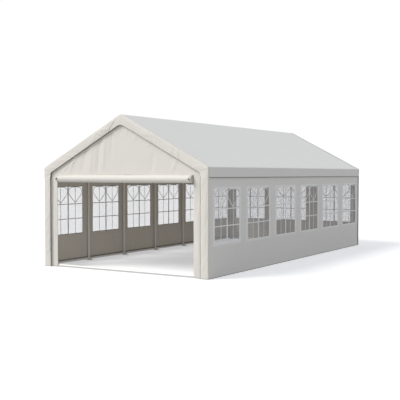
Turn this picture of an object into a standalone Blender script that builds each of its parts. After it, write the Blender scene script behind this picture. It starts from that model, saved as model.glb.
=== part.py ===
"""Marquee tent, 4 m by 8 m between the centres of its poles: a steel tube frame of
seven gable portals under a fabric cover with six windows in each long wall.
Metres, +Z up.  The front gable, with the rolled up door, faces -Y.  The origin is at
ground level in the middle of everything that stands on the ground."""

import math

import bmesh
import bpy
from mathutils import Matrix, Vector

# Frame: centre lines of the tubes
SPAN = 4.000                    # across, leg to leg
RUN = 8.000                     # along, first portal to last
PORTALS = 7
BAYS = PORTALS - 1
BAY = RUN / BAYS
TUBE_R = 0.025
SOCKET_R = 0.0285               # welded socket that a tube end slides into
SLEEVE_R = 0.030                # connector sleeve that a rail runs through
SOCKET_LENGTH = 0.14
TUBE_STOP = 0.012               # a tube's end, short of the centre of its sleeve
SOCKET_STOP = 0.016
SLEEVE_REACH = 0.07             # from a portal's plane to a sleeve's open end
END_REACH = 0.030               # the same on the outer side of an end portal
TUBE_SIDES = 12
BORE_PLAY = 0.0004              # running room of a rail inside its sleeve
GAP = 0.0003                    # between neighbouring pieces
MERGE = 0.0003                  # points this close become one after a boolean

# Cover
ROOF_T = 0.004
WALL_T = 0.003
FILM_T = 0.0015
TRIM_T = 0.040                  # padded hem around each end
TRIM_WIDTH = 0.175
EAVE_Z = 2.100
RIDGE_Z = 3.165
VALANCE = 0.190
FOLD_R = 0.034                  # outside of the roof where it folds over a rail
TRIM_APEX_R = 0.080             # inner corners of the trim
TRIM_CORNER_R = 0.030
ARC_STEPS = 4                   # straight pieces in a rounded corner
HEM_Z = 0.003                   # walls end just above the ground
WALL_TOP = 2.075

# Windows: one in the middle of each bay, three across the rear wall
WINDOW_W = 0.970
WINDOW_SILL = 0.640
WINDOW_TOP = 1.690
REAR_WINDOWS = 3

# Door, rolled up under the lower edge of the front gable
DOOR_HALF = 1.700
DOOR_HEAD = 1.950
ROLL_R = 0.077
ROLL_HALF = 1.680
ROLL_SIDES = 24
ROLL_AHEAD = 0.020              # roll's axis in front of the gable's sheet
ROLL_DROP = 0.004               # room over the roll for the straps
TONGUE_HALF = 1.600             # door sheet between the gable's hem and the roll
STRAP_X = 1.650
STRAP_WIDTH = 0.025
STRAP_T = 0.002
BUCKLE = (0.034, 0.010, 0.030)

# Feet
FOOT_T = 0.006
FOOT_INNER = 0.100              # plate's edge inwards from the leg's centre
FOOT_HALF = 0.060
GROUND_RAIL_Z = 0.034

# Worked out from the sizes above
LEG_X = SPAN / 2
WALL_IN = LEG_X + SLEEVE_R + GAP
WALL_OUT = WALL_IN + WALL_T
HALF_W = WALL_OUT + GAP + ROOF_T
SLOPE = (RIDGE_Z - EAVE_Z) / HALF_W
PITCH = math.atan(SLOPE)
ROOF_DOWN = ROOF_T / math.cos(PITCH)
AXIS_DOWN = (ROOF_T + GAP + SLEEVE_R) / math.cos(PITCH)
SHEET_OUT = END_REACH + GAP     # inner face of an end sheet, out from its portal
TRIM_IN = SHEET_OUT + WALL_T + GAP
COVER_END = TRIM_IN - GAP       # roof and side walls stop behind the trim
STRAP_R = ROLL_R + 2 * GAP      # inside of the strap around the roll
ROLL_OUT = SHEET_OUT + WALL_T / 2 + ROLL_AHEAD
FRONT_REACH = ROLL_OUT + STRAP_R + STRAP_T + BUCKLE[1]
REAR_REACH = TRIM_IN + TRIM_T
CENTRE_Y = (FRONT_REACH - REAR_REACH) / 2    # puts the origin at the middle of the length
FRONT_Y = CENTRE_Y - RUN / 2
REAR_Y = CENTRE_Y + RUN / 2

CREAM = (0.78, 0.76, 0.72)
ROOF_WHITE = (0.72, 0.72, 0.71)
SIDE_WHITE = (0.66, 0.66, 0.65)
STEEL = (0.55, 0.54, 0.53)
FILM = (0.82, 0.84, 0.86)
DARK = (0.08, 0.08, 0.08)


def roof_z(x, down=0.0):
    """Height of the roof's outer face at x, less a vertical distance."""
    return EAVE_Z + (HALF_W - abs(x)) * SLOPE - down


def material(name, colour, roughness, metallic=0.0, alpha=1.0):
    made = bpy.data.materials.new(name)
    made.use_nodes = True
    shader = made.node_tree.nodes["Principled BSDF"]
    shader.inputs["Base Color"].default_value = (*colour, 1.0)
    shader.inputs["Roughness"].default_value = roughness
    shader.inputs["Metallic"].default_value = metallic
    shader.inputs["Alpha"].default_value = alpha
    return made


def add_object(name, mesh, skin=None):
    piece = bpy.data.objects.new(name, mesh)
    bpy.context.scene.collection.objects.link(piece)
    if skin is not None and not mesh.materials:
        mesh.materials.append(skin)
    return piece


def prism(name, outline, low, high, axis, skin=None):
    """Solid made by extruding an outline along an axis.  The outline's points are the
    two other coordinates, in X, Y, Z order."""
    place = {
        "X": lambda a, b, c: (c, a, b),
        "Y": lambda a, b, c: (a, c, b),
        "Z": lambda a, b, c: (a, b, c),
    }[axis]
    shape = bmesh.new()
    corners = [shape.verts.new(place(a, b, low)) for a, b in outline]
    face = shape.faces.new(corners)
    extruded = bmesh.ops.extrude_face_region(shape, geom=[face])
    moved = [item for item in extruded["geom"] if isinstance(item, bmesh.types.BMVert)]
    bmesh.ops.translate(shape, verts=moved, vec=Vector(place(0, 0, high - low)))
    bmesh.ops.recalc_face_normals(shape, faces=shape.faces)
    mesh = bpy.data.meshes.new(name)
    shape.to_mesh(mesh)
    shape.free()
    return add_object(name, mesh, skin)


def rounded(corners):
    """Outline through corners given as (x, z, radius), each replaced by an arc of its
    radius that touches both of its sides."""
    points = []
    for index, (x, z, radius) in enumerate(corners):
        if radius == 0:
            points.append((x, z))
            continue
        here = Vector((x, z))
        before = (Vector(corners[index - 1][:2]) - here).normalized()
        after = (Vector(corners[(index + 1) % len(corners)][:2]) - here).normalized()
        half = before.angle(after) / 2
        centre = here + (before + after).normalized() * radius / math.sin(half)
        start = here + before * radius / math.tan(half) - centre
        end = here + after * radius / math.tan(half) - centre
        for step in range(ARC_STEPS + 1):
            spoke = start.lerp(end, step / ARC_STEPS).normalized()
            points.append(tuple(centre + spoke * radius))
    return points


def box(name, low, high, skin=None):
    outline = [(low[0], low[1]), (high[0], low[1]), (high[0], high[1]), (low[0], high[1])]
    return prism(name, outline, low[2], high[2], "Z", skin)


def tube(name, start, end, radius, skin=None, sides=TUBE_SIDES):
    """Round bar between two points, with a corner of its outline in the XZ plane's
    +X direction where it runs along Y, so that a bore and its rail have like facets."""
    start, end = Vector(start), Vector(end)
    along = end - start
    turn = along.to_track_quat("Z", "Y").to_matrix().to_4x4()
    shape = bmesh.new()
    bmesh.ops.create_cone(
        shape, cap_ends=True, segments=sides, radius1=radius, radius2=radius,
        depth=along.length, matrix=Matrix.Translation((start + end) / 2) @ turn)
    mesh = bpy.data.meshes.new(name)
    shape.to_mesh(mesh)
    shape.free()
    mesh.shade_smooth()
    mesh.set_sharp_from_angle(angle=math.radians(40))
    return add_object(name, mesh, skin)


def fused(name, solids, cutters=(), skin=None):
    """One mesh: the first solid joined with the others, less the cutters."""
    base = solids[0]
    steps = [(other, "UNION") for other in solids[1:]]
    steps += [(other, "DIFFERENCE") for other in cutters]
    for other, operation in steps:
        step = base.modifiers.new(operation.lower(), "BOOLEAN")
        step.operation = operation
        step.solver = "EXACT"
        step.object = other
    graph = bpy.context.evaluated_depsgraph_get()
    mesh = bpy.data.meshes.new_from_object(base.evaluated_get(graph))
    mesh.name = name
    for used in (*solids, *cutters):
        bpy.data.objects.remove(used)
    shape = bmesh.new()
    shape.from_mesh(mesh)
    bmesh.ops.remove_doubles(shape, verts=shape.verts, dist=MERGE)
    bmesh.ops.dissolve_degenerate(shape, edges=shape.edges, dist=MERGE)
    shape.to_mesh(mesh)
    shape.free()
    mesh.materials.clear()
    if skin is not None:
        mesh.materials.append(skin)
    return mesh


def portal_mesh(name, reach_front, reach_rear, end_rail, steel):
    """Gable portal in the XZ plane: two legs with foot plates and two rafters, with
    socketed connectors at the eaves and the ridge.  The sleeves that the rails run
    through reach a given distance to the front and to the rear of its plane.  An end
    portal also has a socket at each foot for the rail along that end."""
    eave_z = roof_z(LEG_X, AXIS_DOWN)
    ridge_z = roof_z(0, AXIS_DOWN)
    solids = []
    cutters = []
    ridge = Vector((0, 0, ridge_z))
    for side in (-1, 1):
        eave = Vector((side * LEG_X, 0, eave_z))
        foot = Vector((side * LEG_X, 0, FOOT_T / 2))
        up_slope = (ridge - eave).normalized()
        runs = (
            ("leg", eave, Vector((0, 0, -1)), eave_z - foot.z),
            ("rafter", eave, up_slope, (ridge - eave).length - TUBE_STOP),
        )
        for name_of_run, node, way, length in runs:
            solids.append(tube(name_of_run, node + way * TUBE_STOP, node + way * length, TUBE_R))
            solids.append(tube("socket", node + way * SOCKET_STOP, node + way * SOCKET_LENGTH, SOCKET_R))
        solids.append(tube(
            "high_socket", ridge - up_slope * SOCKET_LENGTH, ridge - up_slope * SOCKET_STOP, SOCKET_R))
        across = sorted((side * (LEG_X - FOOT_INNER), side * (LEG_X + SLEEVE_R)))
        solids.append(box(
            "plate",
            (across[0], -min(reach_front - WALL_T, FOOT_HALF), 0),
            (across[1], min(reach_rear - WALL_T, FOOT_HALF), FOOT_T)))
        if end_rail:
            inner = side * (LEG_X - SOCKET_LENGTH)
            stop = side * (LEG_X - TUBE_R - 2 * WALL_T)
            solids.append(tube(
                "rail_socket", (side * LEG_X, 0, GROUND_RAIL_Z), (inner, 0, GROUND_RAIL_Z), SOCKET_R))
            cutters.append(tube(
                "rail_bore", (stop, 0, GROUND_RAIL_Z), (inner - side * TUBE_R, 0, GROUND_RAIL_Z),
                TUBE_R + BORE_PLAY))
    for x, z in rail_lines():
        solids.append(tube("sleeve", (x, -reach_front, z), (x, reach_rear, z), SLEEVE_R))
        cutters.append(tube(
            "bore", (x, -2 * SLEEVE_REACH, z), (x, 2 * SLEEVE_REACH, z), TUBE_R + BORE_PLAY))
    return fused(name, solids, cutters, steel)


def rail_lines():
    """Where the five lengthwise rails cross a portal's plane, as (x, z)."""
    eave_z = roof_z(LEG_X, AXIS_DOWN)
    return [
        (0.0, roof_z(0, AXIS_DOWN)),
        (-LEG_X, eave_z),
        (LEG_X, eave_z),
        (-LEG_X, GROUND_RAIL_Z),
        (LEG_X, GROUND_RAIL_Z),
    ]


def make_frame(steel):
    middle = portal_mesh("portal", SLEEVE_REACH, SLEEVE_REACH, False, steel)
    front = portal_mesh("portal_front", END_REACH, SLEEVE_REACH, True, steel)
    rear = portal_mesh("portal_rear", SLEEVE_REACH, END_REACH, True, steel)
    meshes = [front] + [middle] * (PORTALS - 2) + [rear]
    for number, mesh in enumerate(meshes):
        portal = add_object(f"frame_{number + 1}", mesh)
        portal.location = (0, FRONT_Y + number * BAY, 0)
    names = ("ridge_rail", "left_eave_rail", "right_eave_rail", "left_ground_rail", "right_ground_rail")
    for name, (x, z) in zip(names, rail_lines()):
        tube(name, (x, FRONT_Y - TUBE_R, z), (x, REAR_Y + TUBE_R, z), TUBE_R, steel)
    half = LEG_X - TUBE_R - 2 * WALL_T - GAP
    for name, y in (("front_ground_rail", FRONT_Y), ("rear_ground_rail", REAR_Y)):
        tube(name, (-half, y, GROUND_RAIL_Z), (half, y, GROUND_RAIL_Z), TUBE_R, steel)


def make_roof(skin):
    """Gable sheet with a valance hanging at each eave."""
    low = EAVE_Z - VALANCE
    inner = HALF_W - ROOF_T
    inner_r = FOLD_R - ROOF_T
    eave_in = roof_z(inner, ROOF_DOWN)
    outline = rounded([
        (-HALF_W, low, 0), (-inner, low, 0), (-inner, eave_in, inner_r),
        (0, roof_z(0, ROOF_DOWN), inner_r),
        (inner, eave_in, inner_r), (inner, low, 0), (HALF_W, low, 0),
        (HALF_W, EAVE_Z, FOLD_R), (0, RIDGE_Z, FOLD_R), (-HALF_W, EAVE_Z, FOLD_R),
    ])
    prism("roof_cover", outline, FRONT_Y - COVER_END, REAR_Y + COVER_END, "Y", skin)


def cut_windows(sheet, centres, place):
    """Cuts a window through a sheet at each centre.  place turns (centre, half width,
    depth) into the low and high corners of a block in plan."""
    for centre in centres:
        (x0, y0), (x1, y1) = place(centre, WINDOW_W / 2, 2 * WALL_T)
        cutter = box("window_cutter", (x0, y0, WINDOW_SILL), (x1, y1, WINDOW_TOP))
        cutter.hide_render = True
        cutter.display_type = "WIRE"
        step = sheet.modifiers.new("window", "BOOLEAN")
        step.operation = "DIFFERENCE"
        step.solver = "EXACT"
        step.object = cutter


def make_side_walls(skin, film):
    centres = [FRONT_Y + (bay + 0.5) * BAY for bay in range(BAYS)]
    middle = (WALL_IN + WALL_OUT) / 2
    for side, label in ((-1, "left"), (1, "right")):
        faces = sorted((side * WALL_IN, side * WALL_OUT))
        wall = box(
            f"{label}_wall",
            (faces[0], FRONT_Y - COVER_END, HEM_Z), (faces[1], REAR_Y + COVER_END, WALL_TOP), skin)
        x = side * middle
        cut_windows(wall, centres, lambda c, half, deep, x=x: ((x - deep, c - half), (x + deep, c + half)))
        for number, centre in enumerate(centres):
            half = WINDOW_W / 2 - GAP
            box(
                f"{label}_window_{number + 1}",
                (x - FILM_T / 2, centre - half, WINDOW_SILL + GAP),
                (x + FILM_T / 2, centre + half, WINDOW_TOP - GAP), film)


def end_corners():
    """Corners of an end sheet, inside the side walls and under the roof, from the
    lower left one over the ridge to the lower right.  Its upper corners are rounded
    about the rails."""
    edge = WALL_IN - GAP
    down = ROOF_DOWN + GAP / math.cos(PITCH)
    eave = roof_z(edge, down)
    return [
        (-edge, HEM_Z, 0), (-edge, eave, SLEEVE_R), (0, roof_z(0, down), SLEEVE_R),
        (edge, eave, SLEEVE_R), (edge, HEM_Z, 0),
    ]


def make_front_gable(skin):
    """Gable sheet with a strip down each side of the door opening."""
    opening = [
        (DOOR_HALF, HEM_Z, 0), (DOOR_HALF, DOOR_HEAD, 0),
        (-DOOR_HALF, DOOR_HEAD, 0), (-DOOR_HALF, HEM_Z, 0),
    ]
    face = FRONT_Y - SHEET_OUT
    prism("front_gable", rounded(end_corners() + opening), face - WALL_T, face, "Y", skin)


def make_rear_wall(skin, film):
    face = REAR_Y + SHEET_OUT
    wall = prism("rear_wall", rounded(end_corners()), face, face + WALL_T, "Y", skin)
    middle = face + WALL_T / 2
    centres = [(number - (REAR_WINDOWS - 1) / 2) * BAY for number in range(REAR_WINDOWS)]
    cut_windows(wall, centres, lambda c, half, deep: ((c - half, middle - deep), (c + half, middle + deep)))
    for number, centre in enumerate(centres):
        half = WINDOW_W / 2 - GAP
        box(
            f"rear_window_{number + 1}",
            (centre - half, middle - FILM_T / 2, WINDOW_SILL + GAP),
            (centre + half, middle + FILM_T / 2, WINDOW_TOP - GAP), film)


def make_trim(name, low, high, skin):
    """Padded hem that follows the legs and the rafters around one end."""
    inner = HALF_W - TRIM_WIDTH
    down = TRIM_WIDTH / math.cos(PITCH)
    outline = rounded([
        (-HALF_W, HEM_Z, 0), (-HALF_W, EAVE_Z, FOLD_R), (0, RIDGE_Z, FOLD_R),
        (HALF_W, EAVE_Z, FOLD_R), (HALF_W, HEM_Z, 0),
        (inner, HEM_Z, 0), (inner, roof_z(inner, down), TRIM_CORNER_R),
        (0, roof_z(0, down), TRIM_APEX_R),
        (-inner, roof_z(inner, down), TRIM_CORNER_R), (-inner, HEM_Z, 0),
    ])
    prism(name, outline, low, high, "Y", skin)


def make_door(skin, strap_skin):
    """Rolled up door, hanging by a tongue of its sheet from the gable's lower edge, and
    a strap with a buckle around each end."""
    sheet_y = FRONT_Y - SHEET_OUT - WALL_T / 2
    y = FRONT_Y - ROLL_OUT
    z = DOOR_HEAD - ROLL_DROP - math.sqrt(ROLL_R ** 2 - ROLL_AHEAD ** 2)
    roll = tube("roll", (-ROLL_HALF, y, z), (ROLL_HALF, y, z), ROLL_R, sides=ROLL_SIDES)
    tongue = box(
        "tongue", (-TONGUE_HALF, sheet_y - WALL_T / 2, z),
        (TONGUE_HALF, sheet_y + WALL_T / 2, DOOR_HEAD - GAP))
    add_object("door_roll", fused("door_roll", [roll, tongue], (), skin))
    for side, label in ((-1, "left"), (1, "right")):
        x = side * STRAP_X
        half = STRAP_WIDTH / 2
        ring = tube("ring", (x - half, y, z), (x + half, y, z), STRAP_R + STRAP_T, sides=ROLL_SIDES)
        front = y - STRAP_R - STRAP_T / 2
        buckle = box(
            "buckle",
            (x - BUCKLE[0] / 2, front - BUCKLE[1] - STRAP_T / 2, z - BUCKLE[2] / 2),
            (x + BUCKLE[0] / 2, front, z + BUCKLE[2] / 2))
        bore = tube("bore", (x - 2 * half, y, z), (x + 2 * half, y, z), STRAP_R, sides=ROLL_SIDES)
        name = f"{label}_door_strap"
        add_object(name, fused(name, [ring, buckle], [bore], strap_skin))


def main():
    for old in list(bpy.data.objects):
        bpy.data.objects.remove(old)
    steel = material("steel_tube", STEEL, 0.45, 0.6)
    cream = material("cream_fabric", CREAM, 0.6)
    film = material("clear_film", FILM, 0.2, 0.0, 0.4)
    make_frame(steel)
    make_roof(material("roof_fabric", ROOF_WHITE, 0.6))
    make_side_walls(material("side_fabric", SIDE_WHITE, 0.6), film)
    make_front_gable(cream)
    make_rear_wall(cream, film)
    make_trim("front_trim", FRONT_Y - TRIM_IN - TRIM_T, FRONT_Y - TRIM_IN, cream)
    make_trim("rear_trim", REAR_Y + TRIM_IN, REAR_Y + TRIM_IN + TRIM_T, cream)
    make_door(cream, material("strap", DARK, 0.7))


main()
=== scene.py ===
# %% [markdown]
# # A party marquee, 4 m wide and 8 m long
# The real tent is a cage of steel tubes with coated polyethylene sheets pulled over it.
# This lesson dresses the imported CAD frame: every sheet, tube, window and strap is worked
# out as whole arrays of points, so each shape can be read as a formula.

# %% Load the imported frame
import math

import bpy
import numpy as np
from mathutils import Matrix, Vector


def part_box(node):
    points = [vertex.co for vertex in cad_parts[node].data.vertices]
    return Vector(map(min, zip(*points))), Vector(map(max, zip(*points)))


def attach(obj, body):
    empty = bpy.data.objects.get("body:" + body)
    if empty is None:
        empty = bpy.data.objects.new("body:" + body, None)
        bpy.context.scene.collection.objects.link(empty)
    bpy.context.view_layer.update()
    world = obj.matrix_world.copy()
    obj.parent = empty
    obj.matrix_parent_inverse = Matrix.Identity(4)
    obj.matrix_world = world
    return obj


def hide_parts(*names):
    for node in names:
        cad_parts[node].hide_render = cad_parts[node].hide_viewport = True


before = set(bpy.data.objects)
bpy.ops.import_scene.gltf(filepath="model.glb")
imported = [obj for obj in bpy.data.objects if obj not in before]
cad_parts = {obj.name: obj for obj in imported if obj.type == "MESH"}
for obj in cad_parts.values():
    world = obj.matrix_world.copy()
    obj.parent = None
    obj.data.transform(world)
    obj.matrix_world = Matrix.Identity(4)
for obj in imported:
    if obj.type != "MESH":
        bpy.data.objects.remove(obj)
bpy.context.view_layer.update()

# %% [markdown]
# ## The tent's own sizes
# A tent is set out by the lines of its tubes: seven gable portals stand at equal steps, and
# the sheets lie on the outside of the sleeves that join them. The same few sizes are named
# here once, in metres.

# %% Sizes in metres
SPAN = 4.000                # between the legs' centres
RUN = 8.000                 # between the end portals
BAYS = 6
BAY = RUN / BAYS
FRONT_Y = -3.9661           # plane of the front portal
REAR_Y = FRONT_Y + RUN
TUBE_R = 0.025
SOCKET_R = 0.0285
SLEEVE_R = 0.030
EAVE_Z = 2.100
RIDGE_Z = 3.165
HALF_W = 2.0376             # outside of the roof's valances
WALL_OUT = 2.0333           # outside of the side walls
LEG_X = SPAN / 2
SLOPE = (RIDGE_Z - EAVE_Z) / HALF_W
PITCH = math.atan(SLOPE)
ROOF_T = 0.004              # depth that the CAD gives the roof sheet
AXIS_DOWN = (ROOF_T + 0.0003 + SLEEVE_R) / math.cos(PITCH)
FRONT_SHEET = FRONT_Y - 0.0333      # outside of the front gable's sheet
REAR_SHEET = REAR_Y + 0.0333        # outside of the rear wall
GROUND_RAIL_Z = 0.034
WALL_TOP = 2.075
HEM_Z = 0.003
SILL = 0.640
HEAD = 1.690
WINDOW_W = 0.970
DOOR_HALF = 1.700
DOOR_HEAD = 1.950
CLOTH_T = 0.0014            # thickness that each sheet gets here


def roof_z(x, down=0.0):
    """Height of the roof's outer face at x, less a vertical distance."""
    return EAVE_Z + (HALF_W - np.abs(x)) * SLOPE - down


# %% [markdown]
# ## From arrays to meshes
# Two kinds of shape cover the whole tent. A sheet is a grid of points, rows by columns,
# whose neighbours make faces, and a loft is a skin over a row of outlines, which makes
# tubes, plates, straps and window bars. Sheets and straps keep their sizes in metres in a
# UV map, so a weave keeps its scale and follows the cloth when it bends.


# %% Mesh builders
def grid_faces(rows, columns, close_rows=False, close_columns=False):
    """Four-cornered faces between neighbours of a grid of points, numbered row by row."""
    down = np.arange(rows if close_rows else rows - 1)[:, None]
    across = np.arange(columns if close_columns else columns - 1)[None, :]
    next_down = (down + 1) % rows
    next_across = (across + 1) % columns
    corners = [
        down * columns + across, down * columns + next_across,
        next_down * columns + next_across, next_down * columns + across]
    return np.stack(np.broadcast_arrays(*corners), axis=-1)


def add_piece(name, points, faces, finishes, uv=None, sharp=None, finish_of=None):
    """Object at the origin from points and a list of faces, smooth but for edges
    that turn by more than a given angle in degrees. finish_of numbers the faces' finishes."""
    mesh = bpy.data.meshes.new(name)
    mesh.from_pydata(points.tolist(), [], [list(face) for face in faces])
    if uv is not None:
        corner_of = np.empty(len(mesh.loops), dtype=np.int32)
        mesh.loops.foreach_get("vertex_index", corner_of)
        layer = mesh.uv_layers.new(name="metres")
        layer.data.foreach_set("uv", uv[corner_of].astype(np.float32).ravel())
    for finish in finishes:
        mesh.materials.append(finish)
    if finish_of is not None:
        mesh.polygons.foreach_set("material_index", finish_of.astype(np.int32))
    mesh.shade_smooth()
    if sharp is not None:
        mesh.set_sharp_from_angle(angle=math.radians(sharp))
    mesh.update()
    made = bpy.data.objects.new(name, mesh)
    bpy.context.scene.collection.objects.link(made)
    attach(made, "root")
    return made


def add_sheet(
        name, points, uv, finishes, keep=None, thickness=CLOTH_T, centre=(0.0, 0.0, 1.0),
        finish_of=None):
    """Sheet of cloth from a grid of points of its outer face. Cells not kept are holes,
    and every face is turned away from the centre. The cloth gets its thickness inwards,
    and the finish after a cell's own goes on its inner face."""
    faces = grid_faces(*points.shape[:2])
    if finish_of is not None:
        finish_of = np.broadcast_to(finish_of, faces.shape[:2])
        finish_of = finish_of[keep] if keep is not None else finish_of.ravel()
    faces = faces[keep] if keep is not None else faces.reshape(-1, 4)
    used, faces = np.unique(faces, return_inverse=True)
    faces = faces.reshape(-1, 4)
    flat_points = points.reshape(-1, 3)[used]
    corners = flat_points[faces]
    normals = np.cross(corners[:, 2] - corners[:, 0], corners[:, 3] - corners[:, 1])
    outwards = (normals * (corners.mean(axis=1) - np.array(centre))).sum()
    if outwards < 0:
        faces = faces[:, ::-1]
    made = add_piece(
        name, flat_points, faces, finishes, uv.reshape(-1, 2)[used], finish_of=finish_of)
    shell = made.modifiers.new("thickness", "SOLIDIFY")
    shell.thickness = thickness
    shell.offset = -1.0
    if len(finishes) > 1:
        shell.material_offset = 1
        shell.material_offset_rim = 0
    return made


def loft(outlines, closed=False):
    """Skin over a row of closed outlines with equal numbers of points: a face between
    each pair of neighbours and, unless the row closes on itself, one at either end."""
    rows, columns = outlines.shape[:2]
    faces = grid_faces(rows, columns, close_rows=closed, close_columns=True)
    faces = [tuple(face) for face in faces.reshape(-1, 4)]
    if not closed:
        faces.append(tuple(range(columns))[::-1])
        faces.append(tuple(range((rows - 1) * columns, rows * columns)))
    return outlines.reshape(-1, 3), faces


def joined(parts):
    """One list of points and faces from several."""
    starts = np.cumsum([0] + [len(points) for points, _ in parts])
    points = np.concatenate([points for points, _ in parts])
    faces = [tuple(i + start for i in face) for (_, own), start in zip(parts, starts) for face in own]
    return points, faces


def turned_out(made):
    """Same object with the faces of each closed shell pointing outwards."""
    import bmesh
    shape = bmesh.new()
    shape.from_mesh(made.data)
    bmesh.ops.recalc_face_normals(shape, faces=shape.faces)
    shape.to_mesh(made.data)
    shape.free()
    return made


def bar(start, end, radius, sides=28, rim=0.0012):
    """Round bar between two points: circles square to its axis, the outermost ones
    smaller by the rim to round its ends."""
    start, end = np.array(start, float), np.array(end, float)
    length = np.linalg.norm(end - start)
    way = (end - start) / length
    helper = np.array([0.0, 0.0, 1.0]) if abs(way[2]) < 0.9 else np.array([1.0, 0.0, 0.0])
    first = np.cross(way, helper)
    first /= np.linalg.norm(first)
    second = np.cross(way, first)
    along = np.array([0.0, rim, length - rim, length])
    size = np.array([radius - rim, radius, radius, radius - rim])
    turn = np.linspace(0, 2 * np.pi, sides, endpoint=False)
    circle = np.cos(turn)[:, None] * first + np.sin(turn)[:, None] * second
    return loft(start + along[:, None, None] * way + size[:, None, None] * circle)


# %% [markdown]
# ## What makes cloth look like cloth
# Coated polyethylene is stiff: it sags a little between its supports, and it keeps folds
# from its parcel and from where it is pulled tight. A simulation would find the sag, but
# the folds are few and known from the picture, so the cloth is shaped by folds given one
# by one: a fold is a bell-shaped ridge along a line, and a handful of long, faint waves
# makes it uneven.


# %% Folds and unevenness
def smooth(t):
    """Rises from 0 to 1 with no corner at either end."""
    t = np.clip(t, 0, 1)
    return t * t * (3 - 2 * t)


def folds(u, v, lines):
    """Height of ridges at (u, v). Each line is its start, its end, a half width and a
    height: a bell curve across the line, fading to nothing at its ends."""
    lines = np.array(lines, float).reshape(-1, 6)
    u0, v0, u1, v1, width, height = (column[:, None, None] for column in lines.T)
    run = np.hypot(u1 - u0, v1 - v0)
    along = ((u - u0) * (u1 - u0) + (v - v0) * (v1 - v0)) / run ** 2
    across = ((u - u0) * (v1 - v0) - (v - v0) * (u1 - u0)) / run
    fade = smooth(along * 3 + 0.3) * smooth((1 - along) * 3 + 0.3)
    return (height * fade * np.exp(-(across / width) ** 2)).sum(axis=0)


def waves(u, v, seed, length, height):
    """Faint unevenness: seven sine waves of about one length in seeded directions."""
    draw = np.random.default_rng(seed)
    heading = draw.uniform(0, np.pi, 7)[:, None, None]
    pace = 2 * np.pi / (length * draw.uniform(0.7, 1.6, 7))[:, None, None]
    start = draw.uniform(0, 2 * np.pi, 7)[:, None, None]
    turns = pace * (u * np.cos(heading) + v * np.sin(heading)) + start
    return height * np.sin(turns).sum(axis=0) / 3


def scattered(seed, count, low, high, size, lean, width, height):
    """Lines of folds at seeded places between two corners, around one length and one
    direction in degrees."""
    draw = np.random.default_rng(seed)
    u = draw.uniform(low[0], high[0], count)
    v = draw.uniform(low[1], high[1], count)
    angle = np.radians(lean + draw.normal(0, 22, count))
    half = size * draw.uniform(0.5, 1.3, count) / 2
    width = width * draw.uniform(0.7, 1.4, count)
    height = height * draw.choice([-1, 1], count) * draw.uniform(0.5, 1.2, count)
    du, dv = half * np.cos(angle), half * np.sin(angle)
    return np.stack([u - du, v - dv, u + du, v + dv, width, height], axis=1)


# %% [markdown]
# ## A small language for materials
# A node material is a calculation, so it is written as one. A Wire wraps an output socket
# and turns Python's operators into Math nodes, and Finish.node makes any other node. Only
# what changes over a surface is wired; what is constant is set on the shader itself.


# %% Wires and finishes
class Wire:
    """An output socket that can be calculated with."""

    def __init__(self, finish, socket):
        self.finish = finish
        self.socket = socket

    def math(self, operation, *values):
        inputs = dict(enumerate(values))
        return self.finish.node("ShaderNodeMath", {"operation": operation}, inputs)

    def __add__(self, other):
        return self.math("ADD", self, other)

    def __mul__(self, other):
        return self.math("MULTIPLY", self, other)

    def __sub__(self, other):
        return self.math("SUBTRACT", self, other)

    def __rsub__(self, other):
        return self.math("SUBTRACT", other, self)

    __radd__ = __add__
    __rmul__ = __mul__

    def wave(self, length):
        """Sine that repeats after a length."""
        return self.math("SINE", self * (2 * math.pi / length))

    def near(self, value, reach):
        """1 within a reach of a value, else 0."""
        return self.math("COMPARE", self, value, reach)


class Finish:
    """A material around one Principled shader, whose constants are set by name."""

    def __init__(self, name, **constants):
        self.material = bpy.data.materials.new(name)
        self.material.use_nodes = True
        self.tree = self.material.node_tree
        self.shader = self.tree.nodes["Principled BSDF"]
        for socket, value in constants.items():
            self.shader.inputs[socket.replace("_", " ")].default_value = value

    def node(self, kind, settings=None, inputs=None, output=0):
        made = self.tree.nodes.new(kind)
        for setting, value in (settings or {}).items():
            setattr(made, setting, value)
        for socket, value in (inputs or {}).items():
            self.put(made.inputs[socket], value)
        return Wire(self, made.outputs[output])

    def put(self, socket, value):
        if isinstance(value, Wire):
            self.tree.links.new(value.socket, socket)
        else:
            socket.default_value = value

    def feed(self, **wires):
        for socket, value in wires.items():
            self.put(self.shader.inputs[socket.replace("_", " ")], value)

    def place(self):
        """Object coordinates, in metres."""
        return self.node("ShaderNodeTexCoord", output=3)

    def cloth_place(self):
        """The two lengths along a sheet, in metres."""
        uv = self.node("ShaderNodeUVMap", {"uv_map": "metres"})
        return [self.node("ShaderNodeSeparateXYZ", {}, {0: uv}, output=i) for i in (0, 1)]

    def noise(self, scale, detail=2.0, where=None):
        where = where or self.place()
        return self.node(
            "ShaderNodeTexNoise", {}, {"Vector": where, "Scale": scale, "Detail": detail})

    def blend(self, factor, first, second):
        """Colour between two colours."""
        return self.node(
            "ShaderNodeMix", {"data_type": "RGBA"}, {0: factor, 6: first, 7: second}, output=2)

    def bump(self, height, distance):
        return self.node("ShaderNodeBump", {}, {"Distance": distance, "Height": height})


def shade(colour, share):
    """The same colour, lighter or darker."""
    return (*(min(1.0, part * share) for part in colour), 1.0)
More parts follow.
